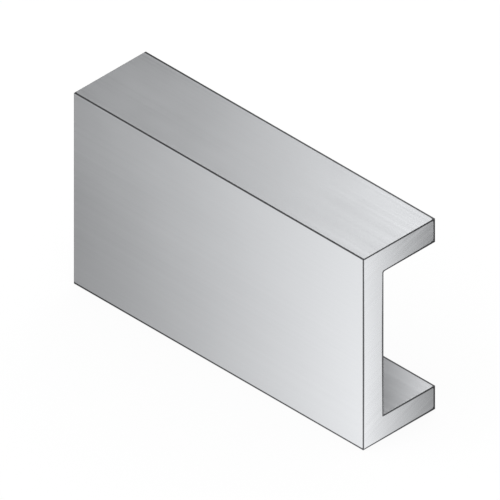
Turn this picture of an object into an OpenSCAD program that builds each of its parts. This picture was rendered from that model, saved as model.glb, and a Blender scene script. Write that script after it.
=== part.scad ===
// C-channel: a straight length of extruded aluminium bar with a flat web and two parallel flanges.
// It rests on its lower flange with the web upright. X runs along the bar, Y from the back of the
// web to the toes of the flanges, and Z up. The origin is on the floor, under the middle of the bar.

/* [Section] */
// Depth of the channel, over the outside of both flanges
depth = 50.8; // [30:0.1:150]
// Width of a flange, from the back of the web to the toe
flange_width = 22.2; // [16:0.1:80]
// Thickness of the web
web_thickness = 6.35; // [3:0.05:10]
// Thickness of each flange
flange_thickness = 6.35; // [3:0.05:10]
// Radius of the outside corners, and of the corners of each toe
corner_radius = 0.2; // [0.1:0.05:1]
// Radius of the fillet in each root, where a flange meets the web
root_radius = 0.4; // [0.1:0.05:2]

/* [Length] */
// Length of the bar between its sawn ends
length = 88.9; // [20:0.1:2500]
// Width of the bevel that deburring leaves around each sawn end
end_bevel = 0.15; // [0.05:0.05:1]

/* [Hidden] */
// How far a cutting shape reaches past the faces it cuts
overcut = 2;

// Rectangle with one corner at the origin and an arc in every corner
module rounded_rectangle(width, height, radius) {
    translate([radius, 0]) square([width - 2 * radius, height]);
    translate([0, radius]) square([width, height - 2 * radius]);
    for (x = [radius, width - radius], y = [radius, height - radius])
        translate([x, y]) circle(radius);
}

// Outline of the bar seen square to its length, with a bevel at each corner.
// The margin widens it past the long sides while the bevels stay on the same lines.
module bevelled_outline(width, margin = 0) {
    end_x = length / 2;
    side_x = end_x - end_bevel - margin;
    polygon([
        [-end_x, end_bevel], [-side_x, -margin],
        [side_x, -margin], [end_x, end_bevel],
        [end_x, width - end_bevel], [side_x, width + margin],
        [-side_x, width + margin], [-end_x, width - end_bevel]
    ]);
}

// Web, with its top and bottom buried halfway into the flanges
module web() {
    translate([0, 0, flange_thickness / 2])
        linear_extrude(depth - flange_thickness) bevelled_outline(web_thickness);
}

// Flange lying on the floor: its section carried along X, then bevelled in plan and in elevation
module flange() {
    intersection() {
        rotate([90, 0, 90])
            linear_extrude(length + 2 * overcut, center = true)
                rounded_rectangle(flange_width, flange_thickness, corner_radius);
        translate([0, 0, -overcut])
            linear_extrude(flange_thickness + 2 * overcut)
                bevelled_outline(flange_width, overcut);
        translate([0, flange_width + overcut, 0])
            rotate([90, 0, 0])
                linear_extrude(flange_width + 2 * overcut)
                    bevelled_outline(flange_thickness, overcut);
    }
}

// Fillet in the root over the lower flange, opening out where the end bevel runs round it
module root_fillet() {
    strip = root_radius + end_bevel;
    difference() {
        translate([-length / 2, web_thickness - end_bevel, flange_thickness - end_bevel])
            cube([length, strip, strip]);
        translate([0, web_thickness + root_radius, flange_thickness + root_radius]) {
            rotate([0, 90, 0]) cylinder(h = length + 2 * overcut, r = root_radius, center = true);
            for (side = [-1, 1])
                rotate([0, 90 * side, 0])
                    translate([0, 0, length / 2 - end_bevel])
                        cylinder(h = strip + overcut, r1 = root_radius, r2 = root_radius + strip + overcut);
        }
    }
}

// The whole bar: the lower flange and its fillet are mirrored to make the upper ones
module c_channel() {
    color([0.74, 0.74, 0.75])
        translate([0, -flange_width / 2, 0]) {
            web();
            for (upper = [0, 1])
                translate([0, 0, upper * depth])
                    mirror([0, 0, upper]) {
                        flange();
                        root_fillet();
                    }
        }
}

c_channel();
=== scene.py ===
"""Looks of a short length of extruded aluminium C-channel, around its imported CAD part.

All lengths are in metres, in the part's frame: X along the bar, Y from the back of the web to the
toes of the flanges, Z up from the floor.
"""

import math

import bpy
import numpy as np
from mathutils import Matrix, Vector


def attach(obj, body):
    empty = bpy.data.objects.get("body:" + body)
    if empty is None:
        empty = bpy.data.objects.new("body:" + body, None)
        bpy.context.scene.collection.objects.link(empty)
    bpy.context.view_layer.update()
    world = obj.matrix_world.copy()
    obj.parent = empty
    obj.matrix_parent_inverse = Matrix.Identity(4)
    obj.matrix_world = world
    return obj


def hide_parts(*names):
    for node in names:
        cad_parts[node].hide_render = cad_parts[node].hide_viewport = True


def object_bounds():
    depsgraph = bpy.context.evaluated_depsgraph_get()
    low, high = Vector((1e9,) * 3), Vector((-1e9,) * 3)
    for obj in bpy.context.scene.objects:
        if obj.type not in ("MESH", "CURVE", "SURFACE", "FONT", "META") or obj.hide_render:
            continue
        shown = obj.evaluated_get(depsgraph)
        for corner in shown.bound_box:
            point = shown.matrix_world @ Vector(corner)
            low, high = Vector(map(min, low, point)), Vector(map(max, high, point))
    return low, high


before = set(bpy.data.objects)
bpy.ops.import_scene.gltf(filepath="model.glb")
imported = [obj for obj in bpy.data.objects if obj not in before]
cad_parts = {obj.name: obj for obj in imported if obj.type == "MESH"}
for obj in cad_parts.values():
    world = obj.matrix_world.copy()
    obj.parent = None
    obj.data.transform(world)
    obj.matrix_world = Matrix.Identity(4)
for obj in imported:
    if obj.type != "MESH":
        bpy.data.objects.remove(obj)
cad_low, cad_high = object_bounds()

# Sizes of the bar, as the part's source gives them
LENGTH, FLANGE_WIDTH, DEPTH = cad_high - cad_low
WEB_THICKNESS = 0.00635
FLANGE_THICKNESS = 0.00635
CORNER_RADIUS = 0.0002
ROOT_RADIUS = 0.0004
END_BEVEL = 0.00015

# Places of its faces: the near end along X, three faces of the section along Y, two inside it along Z
END = LENGTH / 2
BACK = -FLANGE_WIDTH / 2
WEB_INSIDE = BACK + WEB_THICKNESS
TOE = FLANGE_WIDTH / 2
LOWER_INSIDE = FLANGE_THICKNESS
UPPER_INSIDE = DEPTH - FLANGE_THICKNESS

# Points round a corner, and between corners along a flange, up the web, across a toe and along the bar
CORNER_POINTS = 9
FLANGE_POINTS = 16
WEB_POINTS = 28
TOE_POINTS = 7
LENGTH_POINTS = 40

# Points on the outside of the section, and as many on its inside, and all the points round it
SIDE_POINTS = 4 * CORNER_POINTS + 2 * FLANGE_POINTS + WEB_POINTS
RING_POINTS = 2 * (SIDE_POINTS + TOE_POINTS)

# Dark line along an edge: half its width, its soft border, and how far it may be shifted on to one face
EDGE_LINE_HALF = 0.00023
EDGE_LINE_SOFT = 0.00004
EDGE_LINE_SHIFT = 0.0002

# Shade painted into the colour of the trough's walls: how far in it begins and is full, and how far up the
# web it is gone
SHADE_BEGINS = 0.0025
SHADE_FULL = TOE - WEB_INSIDE
SHADE_GONE = 0.009

# Tolerance for a point that lies on a face
HAIR = 1e-6

# Colours of the metal
MILL_DARK = (0.575, 0.585, 0.600, 1)
MILL_LIGHT = (0.615, 0.625, 0.640, 1)
SAWN_DARK = (0.572, 0.582, 0.597, 1)
SAWN_LIGHT = (0.628, 0.638, 0.653, 1)
# Painted shade: the colour that the trough's walls darken to, deep in the recess
PAINTED_TROUGH_SHADE = (0.33, 0.335, 0.345, 1)
EDGE_LINE = (0.078, 0.079, 0.082, 1)

# Span of the values that noise mostly has
NOISE_SPAN = (0.3, 0.7)

# Mill finish: features to the metre of its die lines and oxide, the lines' share of the tone, roughness
# from line to line, and strength of the relief
DIE_LINES = (5, 1500, 1500)
MILL_OXIDE = (45, 70, 70)
DIE_LINES_SHARE = 0.5
MILL_ROUGHNESS = (0.34, 0.40)
MILL_RELIEF = 0.25

# Sawn finish: axis of the blade, its arcs to the metre, and the rest as in the mill finish
BLADE_AXIS = (0.0, 0.045, -0.105)
SAW_ARCS = 800.0
SAWN_OXIDE = (90, 90, 90)
SAW_ARCS_SHARE = 0.6
SAWN_ROUGHNESS = (0.24, 0.32)
SAWN_RELIEF = 0.1

# Both finishes: how much the oxide adds to the roughness or takes from it, and the height of the relief
OXIDE_ROUGHNESS = (-0.03, 0.03)
RELIEF_HEIGHT = 0.00002

# White of the floor's glow and of the room
WHITE = (1, 1, 1, 1)

# Floor: half its side, its level, its paper, and the share of its white that takes no shadow
FLOOR_HALF = 3.0
FLOOR_LEVEL = -0.00002
PAPER = (0.95, 0.95, 0.95, 1)
SHADOWLESS = 0.9

# Pool of light painted on the floor, a glow that only mirrored rays see, as strengths where 1 is white:
# its peak on the web's side and on the end's side, and the plain floor round it
WEB_SIDE_PEAK = 1.54
END_SIDE_PEAK = 1.12 * WEB_SIDE_PEAK
PLAIN_FLOOR = 0.95

# Across the picture from the near corner: where the pool's reach turns from the web's side to the
# end's, where it shortens further out and by how much, and where the peak rises
REACH_TURNS = (-0.006, 0.006)
REACH_SHORTENS = (0.02, 0.09)
SHORTER_BY = 0.006
PEAK_RISES = (0.03, 0.1)

# Towards the camera from the near corner, counted in reaches: where the pool rises to its peak, and
# where the plain floor behind it ends
POOL_RISES = (-2.45, 0.12)
PLAIN_ENDS = (-5.0, -3.0)

# Where the floor turns plain: out from the trough along Y and back from the end along X, in front of
# the near corner, and away from the middle of the bar
PLAIN_OUT = (0.0, 0.02)
PLAIN_BACK = (0.03, 0.045)
PLAIN_IN_FRONT = (0.03, 0.09)
PLAIN_AWAY = (0.13, 0.22)

# White room as the metal mirrors it: its light, the light and the way of its dim side, and the cosines
# between which the one turns into the other
ROOM = 0.95
DIM_SIDE = 0.34
DIM_SIDE_WAY = (-0.577, 0.577, 0.577)
ROOM_DIMS = (0.5, 0.97)

# Lamps
TOP_SOFTBOX = dict(place=(-0.085, 0.205, 0.2355), target=(0.055, 0.0, 0.05), size=0.16, power=0.118)
FRONT_SOFTBOX = dict(place=(-0.35, -0.7, 0.9), target=(0.0, 0.0, 0.02), size=0.7, power=1.6)

# Picture, in pixels: its side, the channel's depth over its outlines, and the near top corner of the web
PICTURE = 500
DEPTH_IN_PICTURE = 191.0
CORNER_ACROSS = 363.09
CORNER_DOWN = 259.89

# Distance of the camera, and the nearest and farthest that it sees
CAMERA_DISTANCE = 0.6
CAMERA_NEAR = 0.01
CAMERA_FAR = 20


# Section of the bar

def packed(count):
    """Shares (1 - cos t) / 2 of a length, with t spread evenly inside 0 to pi.

    The cosine packs them towards both ends, so shading stays flat in between.
    """
    t = np.pi * np.arange(1, count + 1) / (count + 1)
    return 0.5 - 0.5 * np.cos(t)


def corner(y, z, radius, start, end, hollow=False):
    """Arc of one corner: centre plus radius times (cos, sin) of angles spread evenly from start to end.

    Returns the points and their outward normals, which point back to the centre in a hollow root.
    """
    angle = np.radians(np.linspace(start, end, CORNER_POINTS))
    spokes = np.stack([np.cos(angle), np.sin(angle)], axis=1)
    points = np.array([y, z]) + radius * spokes
    return points, -spokes if hollow else spokes


def straight(start, end, normal, count):
    """Flat between two corners: points at packed shares of the way from start to end, and normals."""
    share = packed(count)
    points = np.outer(1 - share, start) + np.outer(share, end)
    return points, np.tile(np.array(normal, float), (count, 1))


def joined(stretches):
    """Points and normals of several stretches, end to end."""
    return [np.concatenate(column) for column in zip(*stretches)]


def outer_side():
    """Outside of the section from the upper toe, over the top, down the back and along the floor."""
    r = CORNER_RADIUS
    return joined([
        corner(TOE - r, DEPTH - r, r, 0, 90),
        straight((TOE - r, DEPTH), (BACK + r, DEPTH), (0, 1), FLANGE_POINTS),
        corner(BACK + r, DEPTH - r, r, 90, 180),
        straight((BACK, DEPTH - r), (BACK, r), (-1, 0), WEB_POINTS),
        corner(BACK + r, r, r, 180, 270),
        straight((BACK + r, 0), (TOE - r, 0), (0, -1), FLANGE_POINTS),
        corner(TOE - r, r, r, 270, 360),
    ])


def inner_side():
    """Inside of the section from the upper toe, along the trough's three walls, to the lower toe."""
    r = CORNER_RADIUS
    root_y = WEB_INSIDE + ROOT_RADIUS
    low_z = LOWER_INSIDE + ROOT_RADIUS
    high_z = UPPER_INSIDE - ROOT_RADIUS
    return joined([
        corner(TOE - r, UPPER_INSIDE + r, r, 0, -90),
        straight((TOE - r, UPPER_INSIDE), (root_y, UPPER_INSIDE), (0, -1), FLANGE_POINTS),
        corner(root_y, high_z, ROOT_RADIUS, 90, 180, hollow=True),
        straight((WEB_INSIDE, high_z), (WEB_INSIDE, low_z), (1, 0), WEB_POINTS),
        corner(root_y, low_z, ROOT_RADIUS, 180, 270, hollow=True),
        straight((root_y, LOWER_INSIDE), (TOE - r, LOWER_INSIDE), (0, 1), FLANGE_POINTS),
        corner(TOE - r, LOWER_INSIDE - r, r, 90, 0),
    ])


def section_ring():
    """Closed section: the outside, the lower toe, the inside walked back, and the upper toe."""
    outer = outer_side()
    inner = inner_side()
    lower_toe = straight(outer[0][-1], inner[0][-1], (1, 0), TOE_POINTS)
    upper_toe = straight(inner[0][0], outer[0][0], (1, 0), TOE_POINTS)
    walked_back = [column[::-1] for column in inner]
    return joined([outer, lower_toe, walked_back, upper_toe])


def cut_ring(ring):
    """Cuts an array over the ring into the outside, the lower toe, the inside and the upper toe.

    The inside and the upper toe are turned round, to run the same way as the two that they face.
    """
    outer, lower_toe, inner, upper_toe = np.split(ring, np.cumsum([SIDE_POINTS, TOE_POINTS, SIDE_POINTS]))
    return outer, lower_toe, inner[::-1], upper_toe[::-1]


def way_to_long_line(points):
    """Distance from each point of the section to the nearest of the lines along the six outer edges.

    A line runs where a corner's arc meets a flat, or is shifted a little on to that flat.
    """
    r = CORNER_RADIUS
    shifted = CORNER_RADIUS + EDGE_LINE_SHIFT
    lines = np.array([
        (TOE - shifted, DEPTH),
        (BACK + r, DEPTH),
        (BACK, shifted),
        (TOE, r),
        (TOE - shifted, LOWER_INSIDE),
        (TOE, UPPER_INSIDE + r),
    ])
    return np.linalg.norm(points[:, None] - lines[None], axis=2).min(axis=1)


def painted_trough_shade(x, points):
    """Painted shade on the trough's walls, 0 to 1, at each place along X and point of the section.

    It rises evenly with the way in from the toe plus the way in from the nearer end. Up the web it
    fades out evenly from either flange.
    """
    y, z = points.T
    up_web = np.minimum(z - LOWER_INSIDE, UPPER_INSIDE - z)
    in_trough = (y > WEB_INSIDE - HAIR) & (up_web > -HAIR)
    way_in = (END - np.abs(x))[:, None] + (TOE - y)[None, :]
    shade = np.interp(way_in, [SHADE_BEGINS, SHADE_FULL], [0, 1])
    return shade * np.interp(up_web, [0, SHADE_GONE], [1, 0]) * in_trough


# The bar

def stations():
    """Places along X where the section stands, how far it is drawn in, and the way to the end's line.

    Each end is a quarter round of radius END_BEVEL: at angle t the section stands END_BEVEL * sin t
    past the round's start and is drawn in by END_BEVEL * (1 - cos t). The line is at t = 90 degrees,
    where the end's flat begins.
    """
    t = np.linspace(0, np.pi / 2, CORNER_POINTS)
    round_start = END - END_BEVEL
    round_x = round_start + END_BEVEL * np.sin(t)
    round_inset = END_BEVEL * (1 - np.cos(t))
    round_way = END_BEVEL * (np.pi / 2 - t)
    side_x = (2 * packed(LENGTH_POINTS) - 1) * round_start
    side_way = round_start - np.abs(side_x) + round_way[0]
    x = np.concatenate([-round_x[::-1], side_x, round_x])
    inset = np.concatenate([round_inset[::-1], np.zeros(LENGTH_POINTS), round_inset])
    way = np.concatenate([round_way[::-1], side_way, round_way])
    return x, inset, way


def quads(grid):
    """Four-cornered faces between neighbouring rows and columns of a grid of vertex numbers."""
    corners = [grid[:-1, :-1], grid[1:, :-1], grid[1:, 1:], grid[:-1, 1:]]
    return np.stack(corners, axis=-1).reshape(-1, 4)


def side_faces(station_count):
    """Faces of all the sides: from each station to the next, and round the section back to its start."""
    numbers = np.arange(station_count * RING_POINTS).reshape(station_count, RING_POINTS)
    return quads(np.concatenate([numbers, numbers[:, :1]], axis=1).T)


def end_points(ring):
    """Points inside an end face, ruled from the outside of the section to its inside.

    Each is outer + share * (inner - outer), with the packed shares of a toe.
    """
    outer, _, inner, _ = cut_ring(ring)
    outer = outer[1:-1, None]
    inner = inner[1:-1, None]
    return outer + (inner - outer) * packed(TOE_POINTS)[None, :, None]


def end_faces(ring_start, inside_start):
    """Faces of an end: a grid whose border is the ring that starts at one vertex number.

    The points inside it are numbered row by row from the other.
    """
    outer, lower_toe, inner, upper_toe = cut_ring(ring_start + np.arange(RING_POINTS))
    grid = np.empty((SIDE_POINTS, TOE_POINTS + 2), int)
    grid[:, 0] = outer
    grid[:, -1] = inner
    grid[0, 1:-1] = upper_toe
    grid[-1, 1:-1] = lower_toe
    inside = grid[1:-1, 1:-1]
    inside[:] = inside_start + np.arange(inside.size).reshape(inside.shape)
    return quads(grid)


def end_line_way(ring, shift):
    """Way from each point inside an end face to the nearest line round its border.

    The line runs along the border, or is shifted a little on to the flat.
    """
    share = packed(TOE_POINTS)
    outer, _, inner, _ = cut_ring(ring)
    width = np.linalg.norm(inner - outer, axis=1)[1:-1, None]
    outer_shift, _, inner_shift, _ = cut_ring(shift)
    from_outer = np.abs(share * width - outer_shift[1:-1, None])
    from_inner = np.abs((1 - share) * width - inner_shift[1:-1, None])
    from_toe = np.abs(TOE - END_BEVEL - EDGE_LINE_SHIFT - end_points(ring)[:, :, 1])
    return np.minimum(np.minimum(from_outer, from_inner), from_toe)


def new_object(name, vertices, faces):
    """Mesh object at the origin, linked to the scene."""
    mesh = bpy.data.meshes.new(name)
    mesh.from_pydata(vertices, [], faces)
    made = bpy.data.objects.new(name, mesh)
    bpy.context.scene.collection.objects.link(made)
    return made


def channel_bar():
    """The whole bar: point (k, i) is section point i, drawn in along its normal, at station k along X.

    Every point also keeps its way along the surface to the nearest edge line, and its painted shade. The
    line round an end is shifted on to the end's flat beside a side that faces down or the toes' way.
    """
    points, normals = section_ring()
    x, inset, to_end = stations()
    sections = points - normals * inset[:, None, None]
    along = np.broadcast_to(x[:, None, None], (len(x), RING_POINTS, 1))
    rings = np.concatenate([along, sections], axis=2)
    shift = np.where(normals[:, 1] < normals[:, 0], EDGE_LINE_SHIFT, 0.0)

    vertices = [rings.reshape(-1, 3)]
    line_way = [np.minimum(way_to_long_line(points), to_end[:, None] + shift).ravel()]
    shade = [painted_trough_shade(x, points).ravel()]
    faces = [side_faces(len(x))]
    finish = [np.zeros(len(faces[0]), np.int32)]
    vertex_count = len(vertices[0])
    for station in (0, len(x) - 1):
        inside = end_points(rings[station]).reshape(-1, 3)
        flat = end_faces(station * RING_POINTS, vertex_count)
        vertices.append(inside)
        line_way.append(end_line_way(rings[station], shift).ravel())
        shade.append(np.zeros(len(inside)))
        faces.append(flat[:, ::-1] if station == 0 else flat)
        finish.append(np.ones(len(flat), np.int32))
        vertex_count += len(inside)

    bar = new_object("channel_bar", np.concatenate(vertices), np.concatenate(faces))
    mesh = bar.data
    mesh.polygons.foreach_set("use_smooth", np.ones(len(mesh.polygons), bool))
    mesh.polygons.foreach_set("material_index", np.concatenate(finish))
    for name, values in (("line_way", line_way), ("painted_trough_shade", shade)):
        attribute = mesh.attributes.new(name, "FLOAT", "POINT")
        attribute.data.foreach_set("value", np.concatenate(values).astype(np.float32))
    mesh.update()
    return bar


# Shader nodes

def node(tree, kind, **values):
    """Adds a shader node and sets its properties or, where there is no such property, its inputs.

    An input goes by its name, with _ for a space, or by its number after a _, as in _0. A value that
    is an output of another node is linked.
    """
    made = tree.nodes.new(kind)
    for name, value in values.items():
        if name in made.bl_rna.properties:
            setattr(made, name, value)
            continue
        key = int(name[1:]) if name[0] == "_" else name.replace("_", " ")
        if isinstance(value, bpy.types.NodeSocket):
            tree.links.new(value, made.inputs[key])
        else:
            made.inputs[key].default_value = value
    return made


def place_on_object(tree):
    """Place in Object coordinates, which are the part's frame."""
    return node(tree, "ShaderNodeTexCoord").outputs["Object"]


def value_of(tree, attribute):
    """Value that the mesh keeps for each point under the attribute's name."""
    return node(tree, "ShaderNodeAttribute", attribute_name=attribute).outputs["Fac"]


def noise(tree, features, detail, roughness):
    """Noise, 0 to 1, with so many features to the metre along X, Y and Z."""
    scaled = node(tree, "ShaderNodeMapping", Vector=place_on_object(tree), Scale=features).outputs["Vector"]
    made = node(tree, "ShaderNodeTexNoise", Vector=scaled, Scale=1.0, Detail=detail, Roughness=roughness)
    return made.outputs["Fac"]


def spread(tree, value, span, low, high):
    """Carries a value from its span, a start and an end, to between low and high, and holds it there."""
    start, end = span
    made = node(
        tree, "ShaderNodeMapRange",
        Value=value, From_Min=start, From_Max=end, To_Min=low, To_Max=high,
    )
    return made.outputs["Result"]


def maths(tree, operation, first, second):
    """Sum, difference, product or another operation on two values."""
    return node(tree, "ShaderNodeMath", operation=operation, _0=first, _1=second).outputs[0]


def vector_maths(tree, operation, first, second, output="Vector"):
    """Operation on two vectors, which gives a vector or, as the output named Value, a number."""
    return node(tree, "ShaderNodeVectorMath", operation=operation, _0=first, _1=second).outputs[output]


def vector_length(tree, vector):
    """Length of a vector."""
    return node(tree, "ShaderNodeVectorMath", operation="LENGTH", _0=vector).outputs["Value"]


def blend(tree, share, first, second):
    """Colour that goes from first to second as share goes from 0 to 1."""
    return node(tree, "ShaderNodeMix", data_type="RGBA", _0=share, _6=first, _7=second).outputs[2]


def level(tree, share, first, second):
    """Number that goes from first to second as share goes from 0 to 1."""
    return node(tree, "ShaderNodeMix", data_type="FLOAT", _0=share, _2=first, _3=second).outputs[0]


# Finishes of the bar

def new_material(name):
    """Material with nodes: returns it, its tree and its shader."""
    material = bpy.data.materials.new(name)
    material.use_nodes = True
    return material, material.node_tree, material.node_tree.nodes["Principled BSDF"]


def tone(tree, lines, oxide, lines_share):
    """Tone from 0 to 1: the lines make up their share of it, and the oxide the rest."""
    from_lines = spread(tree, lines, NOISE_SPAN, 0.0, lines_share)
    from_oxide = spread(tree, oxide, NOISE_SPAN, 0.0, 1 - lines_share)
    return maths(tree, "ADD", from_lines, from_oxide)


def edge_line(tree):
    """1 within half a line's width of an edge line's middle, falling to 0 over its soft border."""
    border = (EDGE_LINE_HALF - EDGE_LINE_SOFT, EDGE_LINE_HALF + EDGE_LINE_SOFT)
    return spread(tree, value_of(tree, "line_way"), border, 1.0, 0.0)


def finish_metal(tree, shader, colour, lines, oxide, roughness, relief):
    """Links a metal's shader: its colour under dark edge lines, its roughness, and the lines as relief."""
    lined = blend(tree, edge_line(tree), colour, EDGE_LINE)
    from_lines = spread(tree, lines, NOISE_SPAN, *roughness)
    from_oxide = spread(tree, oxide, NOISE_SPAN, *OXIDE_ROUGHNESS)
    bump = node(tree, "ShaderNodeBump", Strength=relief, Distance=RELIEF_HEIGHT, Height=lines)
    shader.inputs["Metallic"].default_value = 1.0
    tree.links.new(lined, shader.inputs["Base Color"])
    tree.links.new(maths(tree, "ADD", from_lines, from_oxide), shader.inputs["Roughness"])
    tree.links.new(bump.outputs["Normal"], shader.inputs["Normal"])


def mill_finish():
    """Skin of an extruded bar: fine die lines along X, a faint cloud of oxide, and shade painted into the
    trough.
    """
    finish, tree, shader = new_material("mill_finish")
    die_lines = noise(tree, DIE_LINES, detail=2.0, roughness=0.6)
    oxide = noise(tree, MILL_OXIDE, detail=3.0, roughness=0.5)
    skin = blend(tree, tone(tree, die_lines, oxide, DIE_LINES_SHARE), MILL_DARK, MILL_LIGHT)
    # Painted shade: the trough's walls darkened towards their inside, where the recess is in shade
    shaded = blend(tree, value_of(tree, "painted_trough_shade"), skin, PAINTED_TROUGH_SHADE)
    finish_metal(tree, shader, shaded, die_lines, oxide, MILL_ROUGHNESS, MILL_RELIEF)
    return finish


def sawn_finish():
    """Sawn end: arcs that the blade leaves, as noise over the distance from the blade's axis."""
    finish, tree, shader = new_material("sawn_finish")
    from_axis = vector_maths(tree, "SUBTRACT", place_on_object(tree), BLADE_AXIS)
    across_bar = vector_maths(tree, "MULTIPLY", from_axis, (0, 1, 1))
    radius = vector_length(tree, across_bar)
    rings = node(tree, "ShaderNodeTexNoise", noise_dimensions="1D", W=radius, Scale=SAW_ARCS, Detail=1.0)
    arcs = rings.outputs["Fac"]
    oxide = noise(tree, SAWN_OXIDE, detail=2.0, roughness=0.5)
    cut = blend(tree, tone(tree, arcs, oxide, SAW_ARCS_SHARE), SAWN_DARK, SAWN_LIGHT)
    finish_metal(tree, shader, cut, arcs, oxide, SAWN_ROUGHNESS, SAWN_RELIEF)
    return finish


bar = channel_bar()
bar.data.materials.append(mill_finish())
bar.data.materials.append(sawn_finish())
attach(bar, "root")
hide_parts("c_channel")


# Floor, room and lamps

def mirrored_ray(tree):
    """1 for a ray that metal or glass has turned, or else 0."""
    path = node(tree, "ShaderNodeLightPath")
    return maths(tree, "MAXIMUM", path.outputs["Is Glossy Ray"], path.outputs["Is Transmission Ray"])


def pool_of_light(tree):
    """Brightness of the floor as the metal mirrors it: a soft painted pool of light, a glow in front of the
    bar's near corner.

    Towards the camera is X - Y, and across the picture is X + Y, both from the near corner. The root of
    the brightness rises evenly with X - Y, counted in reaches: the bar's length on the web's side, and
    the flange's width on the end's side, where further out the reach is shorter and the peak higher.
    Round the pool the floor is plain.
    """
    place = place_on_object(tree)
    split = node(tree, "ShaderNodeSeparateXYZ", Vector=place)
    x = split.outputs["X"]
    y = split.outputs["Y"]
    toward = maths(tree, "SUBTRACT", maths(tree, "SUBTRACT", x, y), END - BACK)
    across = maths(tree, "SUBTRACT", maths(tree, "ADD", x, y), END + BACK)

    reach = spread(tree, across, REACH_TURNS, LENGTH, FLANGE_WIDTH)
    shorter = spread(tree, across, REACH_SHORTENS, 0.0, SHORTER_BY)
    reaches = maths(tree, "DIVIDE", toward, maths(tree, "SUBTRACT", reach, shorter))
    root = spread(tree, reaches, POOL_RISES, 0.0, 1.0)
    peak = spread(tree, across, PEAK_RISES, WEB_SIDE_PEAK, END_SIDE_PEAK)
    pool = maths(tree, "MULTIPLY", maths(tree, "POWER", root, 2.0), peak)

    out = spread(tree, y, PLAIN_OUT, 0.0, 1.0)
    back = spread(tree, x, PLAIN_BACK, 1.0, 0.0)
    behind = spread(tree, reaches, PLAIN_ENDS, 1.0, 0.0)
    in_front = spread(tree, toward, PLAIN_IN_FRONT, 0.0, 1.0)
    away = spread(tree, vector_length(tree, place), PLAIN_AWAY, 0.0, 1.0)
    plain = maths(tree, "MINIMUM", out, back)
    for edge in (behind, in_front, away):
        plain = maths(tree, "MAXIMUM", plain, edge)
    return level(tree, plain, pool, PLAIN_FLOOR)


def white_paper():
    """White to the camera with a faint shadow, and to the metal a painted pool of light that glows."""
    paper, tree, shader = new_material("white_paper")
    shader.inputs["Base Color"].default_value = PAPER
    shader.inputs["Roughness"].default_value = 1.0
    shader.inputs["Specular IOR Level"].default_value = 0.0
    mirrored = mirrored_ray(tree)
    strength = level(tree, mirrored, 1.0, pool_of_light(tree))
    glow = node(tree, "ShaderNodeEmission", Color=WHITE, Strength=strength)
    to_camera = node(tree, "ShaderNodeLightPath").outputs["Is Camera Ray"]
    share = maths(tree, "MAXIMUM", maths(tree, "MULTIPLY", to_camera, SHADOWLESS), mirrored)
    mixed = node(tree, "ShaderNodeMixShader", _0=share, _1=shader.outputs[0], _2=glow.outputs[0])
    tree.links.new(mixed.outputs[0], tree.nodes["Material Output"].inputs["Surface"])
    return paper


def pale_floor():
    """Flat white floor, far wider than the view: a square grid of one cell."""
    sides = (-FLOOR_HALF, FLOOR_HALF)
    x, y = np.meshgrid(sides, sides)
    corners = np.stack([x.ravel(), y.ravel(), np.full(4, FLOOR_LEVEL)], axis=1)
    floor = new_object("floor", corners, quads(np.arange(4).reshape(2, 2).T))
    floor.data.materials.append(white_paper())


def studio_world():
    """White room. The metal mirrors it with one dimmer side, up behind the bar.

    The dimming follows the cosine of the angle to the way from the bar's top to that side.
    """
    world = bpy.data.worlds.new("studio")
    world.use_nodes = True
    tree = world.node_tree
    way = node(tree, "ShaderNodeTexCoord").outputs["Generated"]
    nearness = vector_maths(tree, "DOT_PRODUCT", way, DIM_SIDE_WAY, output="Value")
    room = spread(tree, nearness, ROOM_DIMS, ROOM, DIM_SIDE)
    backdrop = tree.nodes["Background"]
    backdrop.inputs["Color"].default_value = WHITE
    tree.links.new(level(tree, mirrored_ray(tree), 1.0, room), backdrop.inputs["Strength"])
    bpy.context.scene.world = world


def softbox(name, place, target, size, power):
    """Square lamp of the given size at a place, turned to a target, and hidden from the camera."""
    data = bpy.data.lights.new(name, "AREA")
    data.size = size
    data.energy = power
    lamp = bpy.data.objects.new(name, data)
    lamp.location = place
    lamp.rotation_euler = (Vector(place) - Vector(target)).to_track_quat("Z", "Y").to_euler()
    lamp.visible_camera = False
    bpy.context.scene.collection.objects.link(lamp)


pale_floor()
studio_world()
softbox("top_softbox", **TOP_SOFTBOX)
softbox("front_softbox", **FRONT_SOFTBOX)


# Camera

def isometric_camera():
    """Parallel view down the cube's diagonal, with the near top corner of the web where the picture has it.

    In such a view an upright length is shortened by the root of 2/3.
    """
    per_metre = DEPTH_IN_PICTURE / (DEPTH * math.sqrt(2 / 3))
    back = Vector((1, -1, 1)).normalized()
    right = Vector((1, 1, 0)).normalized()
    up = back.cross(right)
    across = (CORNER_ACROSS - PICTURE / 2) / per_metre
    down = (CORNER_DOWN - PICTURE / 2) / per_metre
    middle = Vector((END, BACK, DEPTH)) - right * across + up * down
    data = bpy.data.cameras.new("isometric_camera")
    data.type = "ORTHO"
    data.ortho_scale = PICTURE / per_metre
    data.clip_start = CAMERA_NEAR
    data.clip_end = CAMERA_FAR
    camera = bpy.data.objects.new("isometric_camera", data)
    camera.location = middle + back * CAMERA_DISTANCE
    camera.rotation_euler = back.to_track_quat("Z", "Y").to_euler()
    bpy.context.scene.collection.objects.link(camera)
    bpy.context.scene.camera = camera


isometric_camera()
bpy.context.scene.view_settings.view_transform = "Standard"
